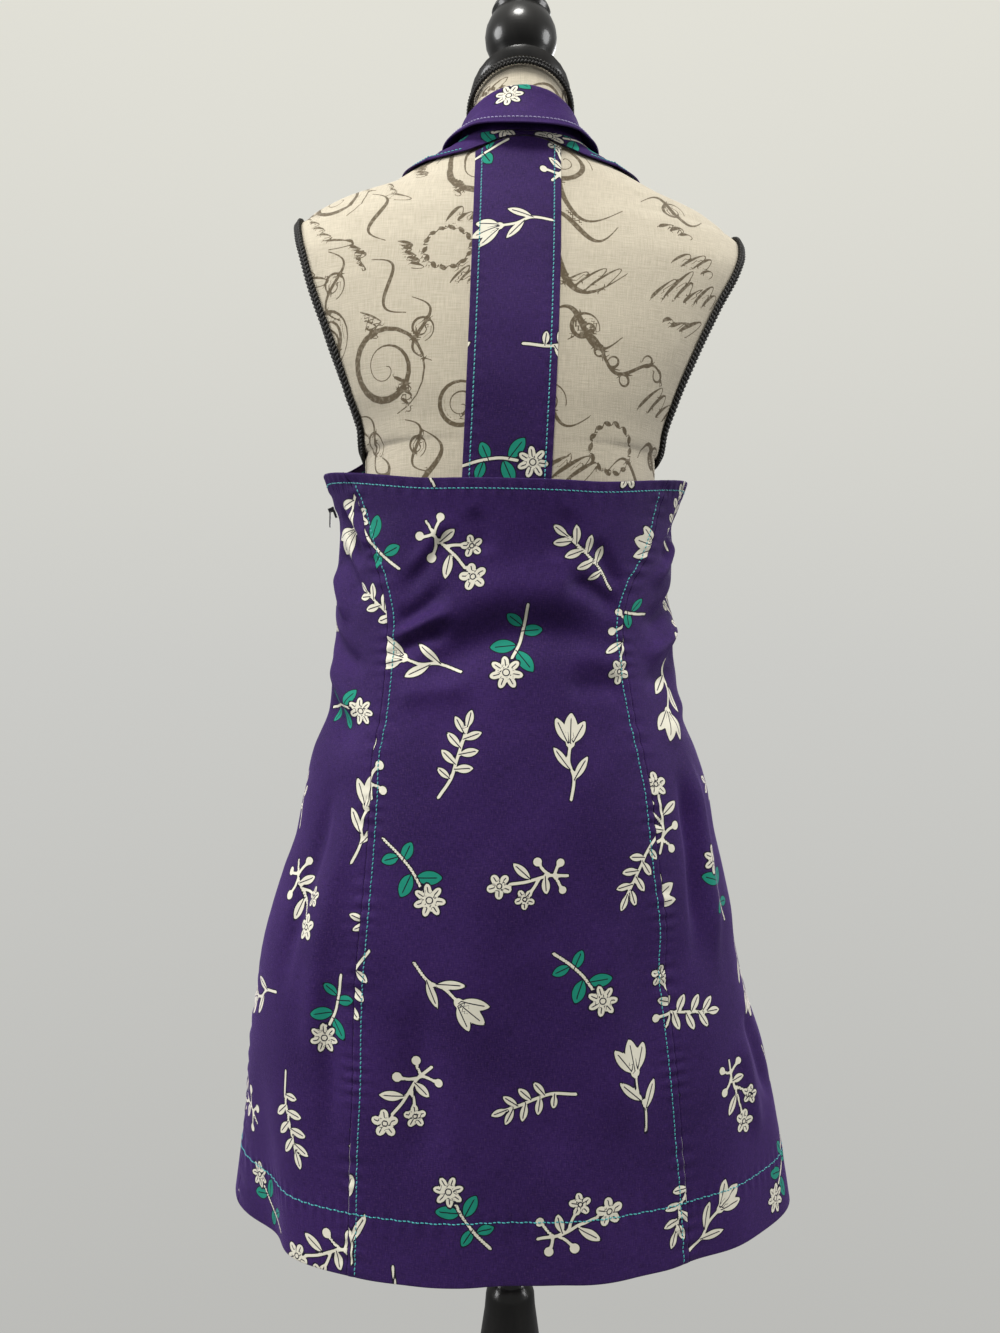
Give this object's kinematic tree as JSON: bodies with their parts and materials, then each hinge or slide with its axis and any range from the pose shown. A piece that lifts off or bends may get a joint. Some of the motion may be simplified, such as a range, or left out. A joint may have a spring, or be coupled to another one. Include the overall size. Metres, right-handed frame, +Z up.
{
  "type": "halter dress on a limbless dress form and stand",
  "caption": "Sleeveless A-line halter dress with a folded collar, an open back and a back strap, standing on a linen dress form with a turned pole and round base.",
  "frame": {"origin": "centre of the stand's base on the floor, under the pole", "axes": "+Z up along the pole, the wearer's back towards +Y and the front towards -Y, the wearer's left towards +X"},
  "size_m": [0.4822, 0.34, 1.632],
  "materials": {
    "dress_cloth": "woven purple cotton with a tossed print and turquoise topstitching",
    "zip_metal": "dark enamelled metal",
    "form_linen": "natural linen with a taupe flourish print",
    "braid": "black braided cord",
    "black_wood": "glossy black paint on turned wood"
  },
  "bodies": {
    "dress_and_form": {"back_centre": "dress_cloth", "side_back_left": "dress_cloth", "side_back_right": "dress_cloth", "front": "dress_cloth", "back_strap": "dress_cloth", "collar": "dress_cloth", "zip_slider": "zip_metal", "form_body": "form_linen", "armhole_braid_left": "braid", "armhole_braid_right": "braid", "neck_braid": "braid", "neck_cap": "black_wood", "stand_column": "black_wood", "stand_base": "black_wood"},
    "zip_pull_tab": {"zip_pull": "zip_metal"}
  },
  "joints": [
    {"name": "zip_pull_swing", "type": "hinge", "parent": "dress_and_form", "child": "zip_pull_tab", "pos_m": [0.1579, -0.00391, 1.16064], "axis": [-0.0174, -0.9998, 0], "range_deg": [-10, 130]}
  ]
}
